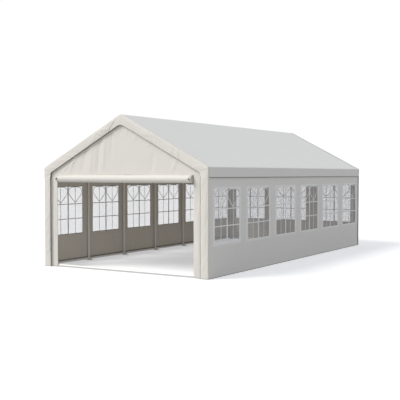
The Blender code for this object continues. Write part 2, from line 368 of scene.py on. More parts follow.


# %% [markdown]
# ## Coated cloth
# The sheets are a weave of flat polyethylene ribbons under a thin coating: matt, slightly
# grained, with ribs a few millimetres apart that show only from near. One function makes
# all of them, because the front, roof, walls and inner faces differ in colour alone. The
# inner faces are darker than the cloth as painted shade of the tent's inside, the walls and
# valances a little darker than the roof as painted shade of the sides, and a dark finish is
# painted shade along hems and edges. Stitched hems are thin dashed lines at known distances
# along the cloth.


# %% Cloth finishes
def cloth_finish(name, colour, roughness, mottle=0.035, stitches=(), welds=()):
    """Ribbed coated cloth. Stitches and welds are (axis, distance) lines, 0 along the
    cloth's first length and 1 along its second."""
    made = Finish(name, Specular_IOR_Level=0.35, Sheen_Weight=0.08, Sheen_Roughness=0.5)
    along = made.cloth_place()
    ribs = along[0].wave(0.0042) * along[1].wave(0.0036)
    grain = made.noise(420.0, 3.0)
    cloud = made.noise(1.3, 3.0)
    streak = made.noise(9.0, 2.0)
    height = ribs * 0.16 + grain * 0.25 + streak * 0.5
    tone = cloud * 0.75 + streak * 0.25
    base = made.blend(tone, shade(colour, 1 - mottle), shade(colour, 1 + mottle))
    for axis, distance in stitches:
        thread = along[axis].near(distance, 0.0013)
        dash = along[1 - axis].wave(0.008).math("GREATER_THAN", along[1 - axis].wave(0.008), -0.3)
        height = height + thread * dash * 0.6 - thread * 0.4
        base = made.blend(thread * 0.22, base, shade(colour, 0.55))
    for axis, distance in welds:
        height = height + along[axis].near(distance, 0.012) * 0.7
    rough = grain * 0.10 + (roughness - 0.05)
    made.feed(Base_Color=base, Roughness=rough, Normal=made.bump(height, 0.0009))
    return made.material


CREAM = (0.765, 0.733, 0.690)
ROOF_WHITE = (0.775, 0.78, 0.775)
# a little darker than the roof's cloth: painted shade of the side walls and valances
SIDE_WHITE_PAINTED_SHADE = (0.735, 0.73, 0.72)
# painted shade: the inner faces are darker than the white cloth, for the shade inside the tent
INSIDE_PAINTED_SHADE = (0.66, 0.61, 0.54)
HEM = 0.028
PAINTED_SHADE_WIDTH = 0.013             # width of the dark painted shade along hems and free edges
roof_welds = [(0, FRONT_Y + RUN * step / 4) for step in (1, 2, 3)]
inside_painted_shade = cloth_finish("inside_cloth_painted_shade", INSIDE_PAINTED_SHADE, 0.62)
# painted shade: a dark finish for the shadow under the valances, at the walls' foot and rear ends, inside
# above the ground rail, and beside the trim's inner edge
painted_shade = cloth_finish("painted_shade_tape", (0.22, 0.21, 0.195), 0.7)
cream_cloth = cloth_finish("cream_cloth", CREAM, 0.56)
roof_cloth = cloth_finish("roof_cloth", ROOF_WHITE, 0.52, 0.02, [(1, HEM)], roof_welds)
wall_cloth_painted_shade = cloth_finish(
    "wall_cloth_painted_shade", SIDE_WHITE_PAINTED_SHADE, 0.56, 0.025, [(1, HEM), (1, WALL_TOP - HEM)])
# the valance is the roof's own cloth, given the walls' darker colour as painted shade
valance_cloth_painted_shade = cloth_finish("valance_cloth_painted_shade", SIDE_WHITE_PAINTED_SHADE, 0.56, 0.02, [(1, HEM)])
print("cloth finishes:", [m.name for m in bpy.data.materials if "cloth" in m.name])

# %% [markdown]
# ## Steel, film, welded strips and webbing
# The tubes are galvanised and lacquered grey, so they are duller than bare steel. The
# windows are clear film, which lets most light through and shines a little, with printed
# bars and a white strip welded around them. Straps are ribbed webbing with moulded buckles.


# %% Other finishes
def steel_finish(name, dark, light):
    made = Finish(name, Metallic=0.12, Specular_IOR_Level=0.5)
    spangle = made.node(
        "ShaderNodeTexVoronoi", {}, {"Vector": made.place(), "Scale": 70.0}, output=1)
    crystals = made.node("ShaderNodeSeparateColor", {}, {0: spangle})
    cloud = made.noise(6.0, 3.0)
    tone = crystals * 0.3 + cloud * 0.7
    base = made.blend(tone, dark, light)
    rough = crystals * 0.08 + cloud * 0.12 + 0.34
    made.feed(Base_Color=base, Roughness=rough, Normal=made.bump(cloud, 0.0004))
    return made.material


def film_finish():
    made = Finish("window_film", Specular_IOR_Level=0.5)
    haze = made.noise(2.2, 2.0)
    ripple = made.noise(14.0, 1.0)
    base = made.blend(haze, (0.48, 0.49, 0.53, 1), (0.54, 0.55, 0.59, 1))
    made.feed(
        Base_Color=base, Alpha=haze * 0.05 + 0.225, Roughness=haze * 0.1 + 0.14,
        Normal=made.bump(ripple, 0.0006))
    return made.material


def strip_finish():
    made = Finish("welded_strip", Specular_IOR_Level=0.5, Sheen_Weight=1.0, Sheen_Roughness=0.6)
    grain = made.noise(350.0, 2.0)
    cloud = made.noise(5.0, 2.0)
    base = made.blend(cloud, (0.89, 0.89, 0.895, 1), (0.94, 0.94, 0.94, 1))
    made.feed(
        Base_Color=base, Alpha=cloud * 0.04 + 0.84, Roughness=grain * 0.15 + 0.40,
        Normal=made.bump(grain, 0.0002))
    return made.material


def webbing_finish():
    made = Finish("strap_webbing", Specular_IOR_Level=0.3, Sheen_Weight=0.2)
    along = made.cloth_place()
    ribs = along[0].wave(0.0021) * 0.5 + along[1].wave(0.0028) * 0.5
    base = made.blend(ribs * 0.5 + 0.5, (0.66, 0.63, 0.59, 1), (0.76, 0.73, 0.69, 1))
    made.feed(Base_Color=base, Roughness=ribs * 0.06 + 0.78, Normal=made.bump(ribs, 0.0004))
    return made.material


def buckle_finish():
    made = Finish("moulded_buckle", Specular_IOR_Level=0.5)
    grain = made.noise(900.0, 2.0)
    base = made.blend(grain, (0.028, 0.028, 0.030, 1), (0.05, 0.05, 0.052, 1))
    made.feed(Base_Color=base, Roughness=grain * 0.15 + 0.38, Normal=made.bump(grain, 0.0001))
    return made.material


steel = steel_finish("lacquered_steel", (0.74, 0.73, 0.705, 1), (0.84, 0.825, 0.80, 1))
# a lighter copy of the steel for the ground rails: painted light, as if lit from above
steel_painted_light = steel_finish("lighter_steel_painted_light", (0.84, 0.835, 0.82, 1), (0.90, 0.895, 0.88, 1))
film = film_finish()
strip = strip_finish()
webbing = webbing_finish()
buckle_plastic = buckle_finish()

# %% [markdown]
# ## Seven portals
# Each portal is two legs and two rafters pushed into sockets, with short sleeves that the
# lengthwise rails run through. The CAD tubes have twelve sides, enough for contact; here
# the same axes carry round tubes, a bolt holds each socket, and the feet are plates.

# %% Portals
EAVE_NODE = float(roof_z(LEG_X, AXIS_DOWN))
RIDGE_NODE = float(roof_z(0.0, AXIS_DOWN))
RAILS = {
    "ridge_rail": (0.0, RIDGE_NODE),
    "left_eave_rail": (-LEG_X, EAVE_NODE),
    "right_eave_rail": (LEG_X, EAVE_NODE),
    "left_ground_rail": (-LEG_X, GROUND_RAIL_Z),
    "right_ground_rail": (LEG_X, GROUND_RAIL_Z),
}
SOCKET_LENGTH = 0.14
SLEEVE_REACH = 0.070
END_REACH = 0.030
FOOT_T = 0.006


def bolt(where, way, radius=0.0075, height=0.006):
    """Washer and six-sided head, standing out from a point."""
    where, way = np.array(where, float), np.array(way, float)
    way = way / np.linalg.norm(way)
    washer = bar(where - way * 0.002, where + way * 0.0018, radius * 1.45, 16, 0.0004)
    head = bar(where, where + way * height, radius, 6, 0.0009)
    return [washer, head]


def plate(low, high, corner=0.010, rim=0.001):
    """Flat plate with rounded corners: one rounded outline at four heights, the
    lowest and highest drawn in by the rim."""
    turn = np.linspace(0, 2 * np.pi, 24, endpoint=False) + np.pi / 24
    spread = np.stack([np.sign(np.cos(turn)), np.sign(np.sin(turn))], axis=1)
    middle = (np.array(low[:2]) + np.array(high[:2])) / 2
    half = (np.array(high[:2]) - np.array(low[:2])) / 2
    spoke = np.stack([np.cos(turn), np.sin(turn)], axis=1)
    rings = []
    for z, inset in ((low[2], rim), (low[2] + rim, 0), (high[2] - rim, 0), (high[2], rim)):
        flat = middle + spread * (half - corner) + spoke * (corner - inset)
        rings.append(np.column_stack([flat, np.full(len(turn), z)]))
    return loft(np.array(rings))


def portal_parts(y, front_reach, rear_reach, end):
    parts = []
    ridge = np.array([0.0, y, RIDGE_NODE])
    for side in (-1, 1):
        eave = np.array([side * LEG_X, y, EAVE_NODE])
        up = (ridge - eave) / np.linalg.norm(ridge - eave)
        down = np.array([0.0, 0.0, -1.0])
        parts.append(bar(eave + down * 0.012, (side * LEG_X, y, FOOT_T / 2), TUBE_R))
        parts.append(bar(eave + up * 0.012, ridge - up * 0.012, TUBE_R))
        parts.append(bar(eave + down * 0.012, eave + down * SOCKET_LENGTH, SOCKET_R))
        parts.append(bar(eave + up * 0.012, eave + up * SOCKET_LENGTH, SOCKET_R))
        parts.append(bar(ridge - up * SOCKET_LENGTH, ridge - up * 0.012, SOCKET_R))
        inwards = np.array([-side, 0.0, 0.0])
        under = np.cross(up, (0, side, 0))
        parts += bolt(eave + down * 0.105 + inwards * SOCKET_R, inwards)
        parts += bolt(eave + up * 0.105 + under * SOCKET_R, under)
        parts += bolt(ridge - up * 0.105 + under * SOCKET_R, under)
        reach = [min(front_reach - 0.003, 0.060), min(rear_reach - 0.003, 0.060)]
        across = sorted((side * (LEG_X - 0.100), side * (LEG_X + SLEEVE_R)))
        parts.append(plate((across[0], y - reach[0], 0), (across[1], y + reach[1], FOOT_T)))
        parts += bolt((side * (LEG_X - 0.078), y, FOOT_T), (0, 0, 1))
        if end:
            stop = side * (LEG_X - SOCKET_LENGTH)
            parts.append(bar((side * LEG_X, y, GROUND_RAIL_Z), (stop, y, GROUND_RAIL_Z), SOCKET_R))
    for x, z in RAILS.values():
        parts.append(bar((x, y - front_reach, z), (x, y + rear_reach, z), SLEEVE_R))
    return parts


for number in range(BAYS + 1):
    first, last = number == 0, number == BAYS
    points, faces = joined(portal_parts(
        FRONT_Y + number * BAY, END_REACH if first else SLEEVE_REACH,
        END_REACH if last else SLEEVE_REACH, first or last))
    made = turned_out(add_piece(f"portal_tubes_{number + 1}", points, faces, [steel], sharp=35))
    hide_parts(f"frame_{number + 1}")
print("portals:", BAYS + 1, "with", len(faces), "faces each")

# %% [markdown]
# ## Rails
# Five rails run the whole length through the sleeves, and one lies on the ground across
# each end; the front one is the threshold of the open doorway.

# %% Rails
for name in (*RAILS, "front_ground_rail", "rear_ground_rail"):
    low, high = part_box(name)
    middle = (low + high) / 2
    axis = 0 if high[0] - low[0] > 1 else 1
    start, end = list(middle), list(middle)
    start[axis], end[axis] = low[axis], high[axis]
    points, faces = joined([bar(start, end, TUBE_R - 0.0002, 32)])
    # the ground rails take the lighter steel, painted light
    finish = steel_painted_light if name.endswith("ground_rail") else steel
    made = turned_out(add_piece(f"{name}_tube", points, faces, [finish], sharp=35))
    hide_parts(name)

# %% [markdown]
# ## Side walls
# A wall is one sheet, 8 m long, with six windows let into it. It rests on the sleeves at
# each portal and hangs free between them, so each bay bellies a little. The packing folds
# and the creases near the ground are ridges along lines. The windows use the same formula
# for their place, so film, bars and border lie on the wall wherever it goes.

# %% Shape of a side wall
WINDOW_Y = FRONT_Y + (np.arange(BAYS) + 0.5) * BAY
WALL_ENDS = (FRONT_Y - 0.0333, REAR_Y + 0.0333)


def wall_folds(side):
    """Lines of folds on one wall: long upright ones from packing, leaning ones low in
    each bay where the cloth hangs free, and short ones around the sill corners."""
    seed = 5 if side < 0 else 11
    upright = scattered(seed, 10, (-3.9, 0.1), (3.9, 0.5), 0.7, 90, 0.030, 0.0040)
    low = scattered(seed + 1, 26, (-3.8, 0.08), (3.8, 0.55), 0.42, 48, 0.028, 0.0040 if side > 0 else 0.0085)
    small = scattered(seed + 2, 30, (-3.9, 0.05), (3.9, 0.60), 0.22, 120, 0.014, 0.0016)
    return np.concatenate([upright, low, small])


def wall_shift(y, z, lines, seed):
    """How far a wall stands out from its flat place: each bay bellies inwards as a
    squared sine of the place in the bay, folds fade out towards the windows, and the
    lower hem stands off the ground rail a little."""
    bay = (y - FRONT_Y) / BAY
    belly = -0.0035 * np.sin(np.pi * bay) ** 2 * np.sin(np.pi * np.clip(z / WALL_TOP, 0, 1))
    calm = smooth((SILL - z) / 0.10)
    uneven = waves(y, z, seed, 0.85, 0.0016)
    hem = 0.0035 * smooth((0.10 - z) / 0.10)
    return belly + calm * folds(y, z, lines) + uneven + hem


def stations(edges, cells):
    """Numbers that rise evenly between edges, with a given count of steps in each gap."""
    runs = [np.linspace(a, b, n, endpoint=False) for a, b, n in zip(edges[:-1], edges[1:], cells)]
    return np.append(np.concatenate(runs), edges[-1])


def holes(across, up, centres, half):
    """Cells to keep: those whose middle isn't in a window."""
    u = (across[:-1] + across[1:]) / 2
    v = (up[:-1] + up[1:]) / 2
    in_u = (np.abs(u[:, None] - np.array(centres)[None, :]) < half).any(axis=1)
    in_v = (v > SILL) & (v < HEAD)
    return ~(in_u[:, None] & in_v[None, :])


INNER_PAINTED_SHADE = (0.058, 0.078)  # painted shade inside, just above the ground rail, for its shadow
wall_y_edges = [WALL_ENDS[0]]
for centre in WINDOW_Y:
    wall_y_edges += [centre - WINDOW_W / 2, centre + WINDOW_W / 2]
wall_y_edges.append(WALL_ENDS[1])
wall_y_edges[-1:] = [WALL_ENDS[1] - 0.03, WALL_ENDS[1]]
wall_y = stations(wall_y_edges, [8] + [44, 18] * (BAYS - 1) + [44, 8, 1])
wall_z = stations(
    [HEM_Z, PAINTED_SHADE_WIDTH, HEM - 0.004, HEM, INNER_PAINTED_SHADE[0], INNER_PAINTED_SHADE[1], SILL, HEAD, WALL_TOP],
    [1, 1, 1, 2, 1, 34, 16, 8])
wall_keep = holes(wall_y, wall_z, WINDOW_Y, WINDOW_W / 2)
# painted shade: a dark band at each wall's foot for the contact shadow, down its rear end for the gap by the
# trim, and inside above the ground rail
wall_painted_shade = np.zeros((len(wall_y) - 1, len(wall_z) - 1), int)
wall_painted_shade[:, 5] = 4
wall_painted_shade[:, 0] = 2
wall_painted_shade[-1, :] = 2
HEM_STEP = 0.0007           # a hem is the cloth folded double


def hem_step(distance):
    """Extra thickness of a hem: a small step out where the cloth lies double."""
    return HEM_STEP * (distance < HEM - 0.002)


wall_shape = {}
for side, label in ((-1, "left"), (1, "right")):
    lines = wall_folds(side)
    seed = 40 + side
    wall_shape[side] = (lines, seed)
    y, z = np.meshgrid(wall_y, wall_z, indexing="ij")
    out = WALL_OUT + wall_shift(y, z, lines, seed) + hem_step(z)
    points = np.stack([side * out, y, z], axis=-1)
    uv = np.stack([y, z], axis=-1)
    made = add_sheet(
        f"{label}_wall_sheet", points, uv,
        [wall_cloth_painted_shade, inside_painted_shade, painted_shade, painted_shade, wall_cloth_painted_shade, painted_shade], wall_keep,
        finish_of=wall_painted_shade)
    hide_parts(f"{label}_wall")
    wall_area = (WALL_TOP - HEM_Z) * (WALL_ENDS[1] - WALL_ENDS[0])
    wall_area -= BAYS * WINDOW_W * (HEAD - SILL)
    print(made.name, "cloth left after the windows:", round(wall_area, 2), "m2")

# %% [markdown]
# ## Rear wall
# The rear wall isn't in view, apart from its inner side through the windows. It is one
# sheet up to the roof, with three windows spaced like those of the sides. Its rows are
# level up to the eaves and then lean gradually into the slope of the roof.

# %% Rear wall
REAR_X = np.array([-BAY, 0.0, BAY])
EDGE_X = 2.0300 - 0.0003


def leaning_rows(up, x, start, under):
    """Rows of heights that are level up to a start and then fan out to meet the roof:
    above it each height moves in proportion between the start and the roof's line."""
    top = roof_z(x, under)[:, None]
    share = np.clip((up - start) / (up[-1] - start), 0, 1)[None, :]
    return np.where(up[None, :] > start, start + (top - start) * share, up[None, :])


UNDER_ROOF = (ROOF_T + 0.0006) / math.cos(PITCH)
rear_x_edges = [-EDGE_X]
for centre in REAR_X:
    rear_x_edges += [centre - WINDOW_W / 2, centre + WINDOW_W / 2]
rear_x_edges.append(EDGE_X)
rear_x = stations(rear_x_edges, [6, 22, 8, 22, 8, 22, 6])
rear_up = stations([HEM_Z, 0.024, HEM, SILL, HEAD, 1.78, 3.0], [1, 1, 18, 14, 3, 30])
rear_keep = holes(rear_x, rear_up, REAR_X, WINDOW_W / 2)
rear_lines = np.concatenate([
    scattered(71, 22, (-1.9, 0.08), (1.9, 0.55), 0.40, 55, 0.024, 0.0030),
    scattered(72, 14, (-1.2, 1.95), (1.2, 2.75), 0.55, 90, 0.035, 0.0035),
])


def rear_shift(x, z):
    """Bellies inwards a few millimetres between the legs, with folds away from the
    windows."""
    calm = np.maximum(smooth((SILL - z) / 0.10), smooth((z - HEAD - 0.05) / 0.15))
    belly = -0.006 * np.sin(np.pi * (x / EDGE_X + 1) / 2) ** 2
    return belly + calm * folds(x, z, rear_lines) + waves(x, z, 73, 0.9, 0.0016)


z = leaning_rows(rear_up, rear_x, 1.78, UNDER_ROOF)
x = np.broadcast_to(rear_x[:, None], z.shape)
points = np.stack([x, REAR_SHEET + rear_shift(x, z) + hem_step(z), z], axis=-1)
made = add_sheet("rear_wall_sheet", points, np.stack([x, z], axis=-1), [cream_cloth, inside_painted_shade], rear_keep)
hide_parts("rear_wall")

# %% [markdown]
# ## Windows: film, printed bars and a welded border
# The film is welded behind the opening. The print is the usual arched window: a centre
# bar, a thin upright and two cross bars in each half, and a balloon-shaped arch on top.
# As bars of real thickness they show the same from inside and outside, as the print does.

# %% Window parts
WELD = 0.016                # how far the film runs on behind the cloth
BAR_WIDTH = {"centre": 0.042, "thin": 0.015, "cross": 0.020, "arch": 0.016}
CROSS_AT = (0.316, 0.630)   # shares of the height, from the sill
BORDER_SIDE = 0.072
BORDER_ENDS = 0.042


def cut_corners(path, times):
    """Closed path with its corners cut off again and again, which rounds it: every
    side is replaced by the points a quarter and three quarters along it."""
    for _ in range(times):
        ahead = np.roll(path, -1, axis=0)
        path = np.stack([path * 0.75 + ahead * 0.25, path * 0.25 + ahead * 0.75], axis=1).reshape(-1, 2)
    return path


def line(start, end, count=24):
    return np.linspace(np.array(start, float), np.array(end, float), count)


def ribbon(path, width, depth, place, closed=False):
    """Flat bar along a path in the plane of a window. Its outline at a point is a
    rectangle: half the width to either side, square to the path, and its depths."""
    if closed:
        way = np.roll(path, -1, axis=0) - np.roll(path, 1, axis=0)
    else:
        way = np.gradient(path, axis=0)
    way /= np.linalg.norm(way, axis=1, keepdims=True)
    side = np.stack([-way[:, 1], way[:, 0]], axis=1) * width / 2
    near, far = depth
    outline = [(path + side, near), (path - side, near), (path - side, far), (path + side, far)]
    rings = np.stack([place(flat[:, 0], flat[:, 1], d) for flat, d in outline], axis=1)
    return loft(rings, closed)


def window_print(place):
    """Bars and arches of one window, around its own sill centre."""
    tall = HEAD - SILL
    half = WINDOW_W / 2
    depth = (0.0012, -0.0026)
    parts = [ribbon(line((0, 0), (0, tall)), BAR_WIDTH["centre"], depth, place)]
    for share in CROSS_AT:
        at = share * tall
        parts.append(ribbon(line((-half, at), (half, at)), BAR_WIDTH["cross"], (0.0010, -0.0024), place))
    for centre in (-half / 2, half / 2):
        parts.append(ribbon(line((centre, 0), (centre, tall)), BAR_WIDTH["thin"], (0.0008, -0.0022), place))
        arch = np.array([
            (0.0, -0.355), (0.016, -0.338), (0.180, -0.190), (0.228, -0.120), (0.205, -0.030),
            (0.100, 0.002), (0.0, 0.004), (-0.100, 0.002), (-0.205, -0.030), (-0.228, -0.120),
            (-0.180, -0.190), (-0.016, -0.338)])
        path = cut_corners(arch, 3) + np.array([centre, tall - 0.012])
        parts.append(ribbon(path, BAR_WIDTH["arch"], (0.0006, -0.0020), place, closed=True))
    return parts


def window_border(place):
    """White strip welded to the outside around the opening, wider down its sides."""
    tall = HEAD - SILL
    half = WINDOW_W / 2
    lap = 0.004
    depth = (0.0010, -0.0006)
    parts = []
    for side in (-1, 1):
        at = side * (half + BORDER_SIDE / 2 - lap)
        ends = (-BORDER_ENDS + lap, tall + BORDER_ENDS - lap)
        parts.append(ribbon(line((at, ends[0]), (at, ends[1])), BORDER_SIDE, depth, place))
        at = tall / 2 + side * (tall / 2 + BORDER_ENDS / 2 - lap)
        parts.append(ribbon(line((-half + lap, at), (half - lap, at)), BORDER_ENDS, depth, place))
    return parts


def add_window(name, centre, place, replaced, centre_point):
    """Film, print and border of one window."""
    a, b = np.meshgrid(
        np.linspace(-WINDOW_W / 2 - WELD, WINDOW_W / 2 + WELD, 19),
        np.linspace(-WELD, HEAD - SILL + WELD, 19), indexing="ij")
    pucker = waves(a + centre, b, 90 + int(centre * 10), 0.45, 0.0006)
    points = place(a, b, pucker - 0.0016)
    pane = add_sheet(
        f"{name}_film", points, np.stack([a, b], axis=-1), [film], thickness=0.0006,
        centre=centre_point)
    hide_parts(replaced)
    name.rsplit("_window", 1)[0] + "_wall_sheet"
    points, faces = joined(window_print(place) + window_border(place))
    bars = turned_out(add_piece(f"{name}_bars", points, faces, [strip], sharp=30))
    return len(faces)


# %% Windows in the walls
def side_place(side, centre):
    lines, seed = wall_shape[side]

    def place(a, b, depth):
        y, z = centre + a, SILL + b
        shift = wall_shift(np.atleast_2d(y), np.atleast_2d(z), lines, seed).reshape(np.shape(y))
        return np.stack([side * (WALL_OUT + shift + depth), y, z], axis=-1)
    return place


def rear_place(centre):
    def place(a, b, depth):
        x, z = centre + a, SILL + b
        shift = rear_shift(np.atleast_2d(x), np.atleast_2d(z)).reshape(np.shape(x))
        return np.stack([x, REAR_SHEET + shift + depth, z], axis=-1)
    return place


for side, label in ((-1, "left"), (1, "right")):
    for number, centre in enumerate(WINDOW_Y):
        name = f"{label}_window_{number + 1}"
        count = add_window(name, centre, side_place(side, centre), name, (0, centre, 1))
for number, centre in enumerate(REAR_X):
    name = f"rear_window_{number + 1}"
    add_window(name, centre, rear_place(centre), name, (centre, 0, 1))
print("windows:", 2 * BAYS + 3, "with", count, "faces of bars each")

# %% [markdown]
# ## Front gable
# The gable is one sheet with the doorway cut out of it: a triangle over the door and a
# narrow strip down each side. Its rows fan out to the roof as those of the rear wall do.
# It hangs in soft upright folds from the trim, which show best at the left.

# %% Front gable
gable_x = stations([-EDGE_X, -DOOR_HALF, DOOR_HALF, EDGE_X], [16, 170, 16])
gable_up = stations([HEM_Z, DOOR_HEAD, 3.0], [90, 56])
gable_lines = np.array([
    (-0.62, 1.96, -0.56, 2.74, 0.048, -0.0120), (-0.47, 2.05, -0.42, 2.80, 0.038, 0.0075),
    (-1.02, 1.98, -0.92, 2.58, 0.050, -0.0085), (-0.82, 2.00, -0.76, 2.62, 0.042, 0.0075),
    (-1.38, 1.98, -1.18, 2.40, 0.040, 0.0090), (-1.60, 2.00, -1.20, 2.26, 0.030, 0.0070),
    (-0.26, 2.30, -0.24, 2.92, 0.032, -0.0075), (0.10, 2.74, 0.20, 2.98, 0.020, 0.0070),
    (-0.16, 2.74, -0.24, 2.96, 0.020, 0.0070), (-0.03, 2.74, -0.03, 2.98, 0.018, -0.0060),
    (0.30, 2.62, 0.44, 2.86, 0.024, 0.0066), (0.62, 2.50, 0.80, 2.70, 0.024, 0.0057),
    (1.20, 2.00, 1.36, 2.36, 0.034, 0.0070), (0.72, 1.98, 0.78, 2.40, 0.050, -0.0060),
    (-1.80, 0.20, -1.78, 1.60, 0.024, 0.0070), (1.80, 0.30, 1.77, 1.50, 0.024, 0.0070),
    (-1.74, 1.20, -1.86, 1.80, 0.020, -0.0057), (1.74, 1.10, 1.85, 1.85, 0.020, -0.0057),
])


def gable_shift(x, z):
    """Folds, faint waves, and a hem along the doorway that is folded double."""
    near_door = np.where(z < DOOR_HEAD, np.abs(x) - DOOR_HALF, 1.0)
    return folds(x, z, gable_lines) + waves(x, z, 21, 0.55, 0.0018) + hem_step(near_door)


z = leaning_rows(gable_up, gable_x, DOOR_HEAD, UNDER_ROOF)
x = np.broadcast_to(gable_x[:, None], z.shape)
middle_x = np.abs(gable_x[:-1] + gable_x[1:]) / 2 < DOOR_HALF
gable_keep = ~(middle_x[:, None] & (gable_up[1:] <= DOOR_HEAD + 1e-6)[None, :])
points = np.stack([x, FRONT_SHEET - gable_shift(x, z), z], axis=-1)
made = add_sheet(
    "front_gable_sheet", points, np.stack([x, z], axis=-1), [cream_cloth, inside_painted_shade], gable_keep)
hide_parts("front_gable")

# %% [markdown]
# ## Trim around both ends
# A wide band is wrapped around each end portal: up one leg, over the ridge and down the
# other. Across its width it is a channel with two rounded edges; along its length it is
# carried over an outer and an inner line that turn their corners together. Where it is
# pulled round the ridge it puckers, and down the legs it has long upright folds.

# %% Trim
TRIM_T = 0.040
TRIM_WIDTH = 0.175
FOLD_R = 0.034
LEG_PAINTED_SHADE = 0.0135           # width of painted shade on the face by the inner edge, on a leg
RAKE_PAINTED_SHADE = 0.006           # and along a rafter, where the painted shade turns in behind the edge too
LEG_TOP = 2.02
TRIM_FRONT = FRONT_Y - 0.0336
TRIM_REAR = REAR_Y + 0.0336


def rounded_path(corners, radii, cells, arc_cells):
    """Path of straight runs with an arc at each inner corner. An arc's centre lies on
    the corner's bisector, and its ends are the radius over the tangent away from it."""
    corners = np.array(corners, float)
    ends = [(corners[0], corners[0])]
    arcs = []
    for index in range(1, len(corners) - 1):
        here, radius = corners[index], radii[index - 1]
        before = corners[index - 1] - here
        after = corners[index + 1] - here
        before, after = before / np.linalg.norm(before), after / np.linalg.norm(after)
        half = math.acos(float(np.clip(before @ after, -1, 1))) / 2
        middle = here + (before + after) / np.linalg.norm(before + after) * radius / math.sin(half)
        first, last = here + before * radius / math.tan(half), here + after * radius / math.tan(half)
        share = np.linspace(0, 1, arc_cells + 1)[:, None]
        spokes = (first - middle) * (1 - share) + (last - middle) * share
        arcs.append(middle + radius * spokes / np.linalg.norm(spokes, axis=1, keepdims=True))
        ends.append((first, last))
    ends.append((corners[-1], corners[-1]))
    pieces = []
    for index in range(len(ends) - 1):
        pieces.append(np.linspace(ends[index][1], ends[index + 1][0], cells[index], endpoint=False))
        if index < len(arcs):
            pieces.append(arcs[index][:-1])
    return np.concatenate(pieces + [corners[-1:]])


LEG_CELLS, RAFTER_CELLS, ARC_CELLS = 100, 150, 10
trim_cells = [LEG_CELLS, RAFTER_CELLS, RAFTER_CELLS, LEG_CELLS]
TRIM_OVER = 0.006           # the band lies over the roof's edge by this much
inner_x = HALF_W - TRIM_WIDTH
inner_down = TRIM_WIDTH / math.cos(PITCH)
outer_x = HALF_W + TRIM_OVER
over_up = -TRIM_OVER / math.cos(PITCH)
outer_line = rounded_path(
    [(-outer_x, HEM_Z), (-outer_x, roof_z(outer_x, over_up)), (0, roof_z(0, over_up)),
     (outer_x, roof_z(outer_x, over_up)), (outer_x, HEM_Z)],
    [0.040, 0.085, 0.040], trim_cells, ARC_CELLS)
inner_line = rounded_path(
    [(-inner_x, HEM_Z), (-inner_x, roof_z(inner_x, inner_down)), (0, roof_z(0, inner_down)),
     (inner_x, roof_z(inner_x, inner_down)), (inner_x, HEM_Z)],
    [0.060, 0.170, 0.060], trim_cells, ARC_CELLS)
section = rounded_path(
    [(TRIM_WIDTH, 0.0), (TRIM_WIDTH, TRIM_T), (0.0, TRIM_T), (0.0, 0.0)],
    [0.004, 0.014], [4, 17, 4], 6)
print("trim: length", round(float(np.linalg.norm(np.diff(outer_line, axis=0), axis=1).sum()), 3), "m")


def trim_lines(seed, length):
    """Puckers across the band near the ridge and the eaves, and long folds along the
    legs. Distances run along the band and across it from its outer edge."""
    ridge = length / 2
    eaves = (2.05, length - 2.05)
    puckers = [
        (ridge + s * (0.12 + 0.080 * n), 0.015 + 0.01 * (n % 2), ridge + s * (0.36 + 0.090 * n), 0.165,
         0.013, 0.0115 * (1 - 0.07 * n))
        for s in (-1, 1) for n in range(8)]
    corner = [
        (at + s * 0.05 * n, 0.03, at + s * (0.04 + 0.07 * n), 0.16, 0.014, 0.0065)
        for at in eaves for s in (-1, 1) for n in range(1, 4)]
    legs = [
        (start, 0.05 + 0.04 * n, start + 1.3, 0.07 + 0.03 * n, 0.016, 0.0075)
        for start in (0.15, length - 1.75) for n in range(3)]
    loose = scattered(seed, 40, (0.2, 0.03), (length - 0.2, 0.15), 0.28, 25, 0.016, 0.0045)
    return np.concatenate([puckers, corner, legs, loose])


def add_trim(name, back, way, seed, node):
    """Band from its back plane outwards: each point lies between the outer and the
    inner line by its share of the width, and its height is the channel's, crowned in
    the middle, plus the folds."""
    across = section[:, 0][None, :]
    height = section[:, 1][None, :]
    along = np.concatenate([[0], np.cumsum(np.linalg.norm(np.diff(outer_line, axis=0), axis=1))])
    share = (across / TRIM_WIDTH)[..., None]
    flat = outer_line[:, None, :] * (1 - share) + inner_line[:, None, :] * share
    u = np.broadcast_to(along[:, None], flat.shape[:2])
    v = np.broadcast_to(across, flat.shape[:2])
    face = height / TRIM_T
    crown = 0.004 * np.sin(np.pi * across / TRIM_WIDTH)
    raised = folds(u, v, trim_lines(seed, along[-1])) + waves(u, v, seed + 1, 0.4, 0.0014)
    depth = height + face * (crown + raised)
    points = np.stack([flat[..., 0], back + way * depth, flat[..., 1]], axis=-1)
    wrap = np.concatenate([[0], np.cumsum(np.linalg.norm(np.diff(section, axis=0), axis=1))])
    uv = np.stack([u, np.broadcast_to(wrap[None, :], u.shape)], axis=-1)
    # painted shade: a dark band along the inner edge, for the shadow gap between the band and the gable
    on_face = section[None, 1:, 1] > TRIM_T / 2
    on_rafter = ((along[1:] > LEG_TOP) & (along[1:] < along[-1] - LEG_TOP))[:, None]
    shade_width = np.where(on_rafter, RAKE_PAINTED_SHADE, LEG_PAINTED_SHADE)
    painted_shade_edge = (section[None, 1:, 0] > TRIM_WIDTH - shade_width) & (on_face | on_rafter)
    made = add_sheet(
        name, points, uv, [cream_cloth, cream_cloth, painted_shade, painted_shade], finish_of=2 * painted_shade_edge)
    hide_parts(node)
    return made


add_trim("front_trim_band", TRIM_FRONT, -1, 31, "front_trim")
add_trim("rear_trim_band", TRIM_REAR, 1, 33, "rear_trim")

# %% [markdown]
# ## Roof sheet
# The roof is one continuous sheet from the hem of one valance, over the ridge, to the hem
# of the other. Its profile is a path with rounded folds, and it is carried along the tent.
# Between two portals it sags a few millimetres, most in the middle of each slope, and the
# valances stand off the walls towards their lower edge in slow waves.

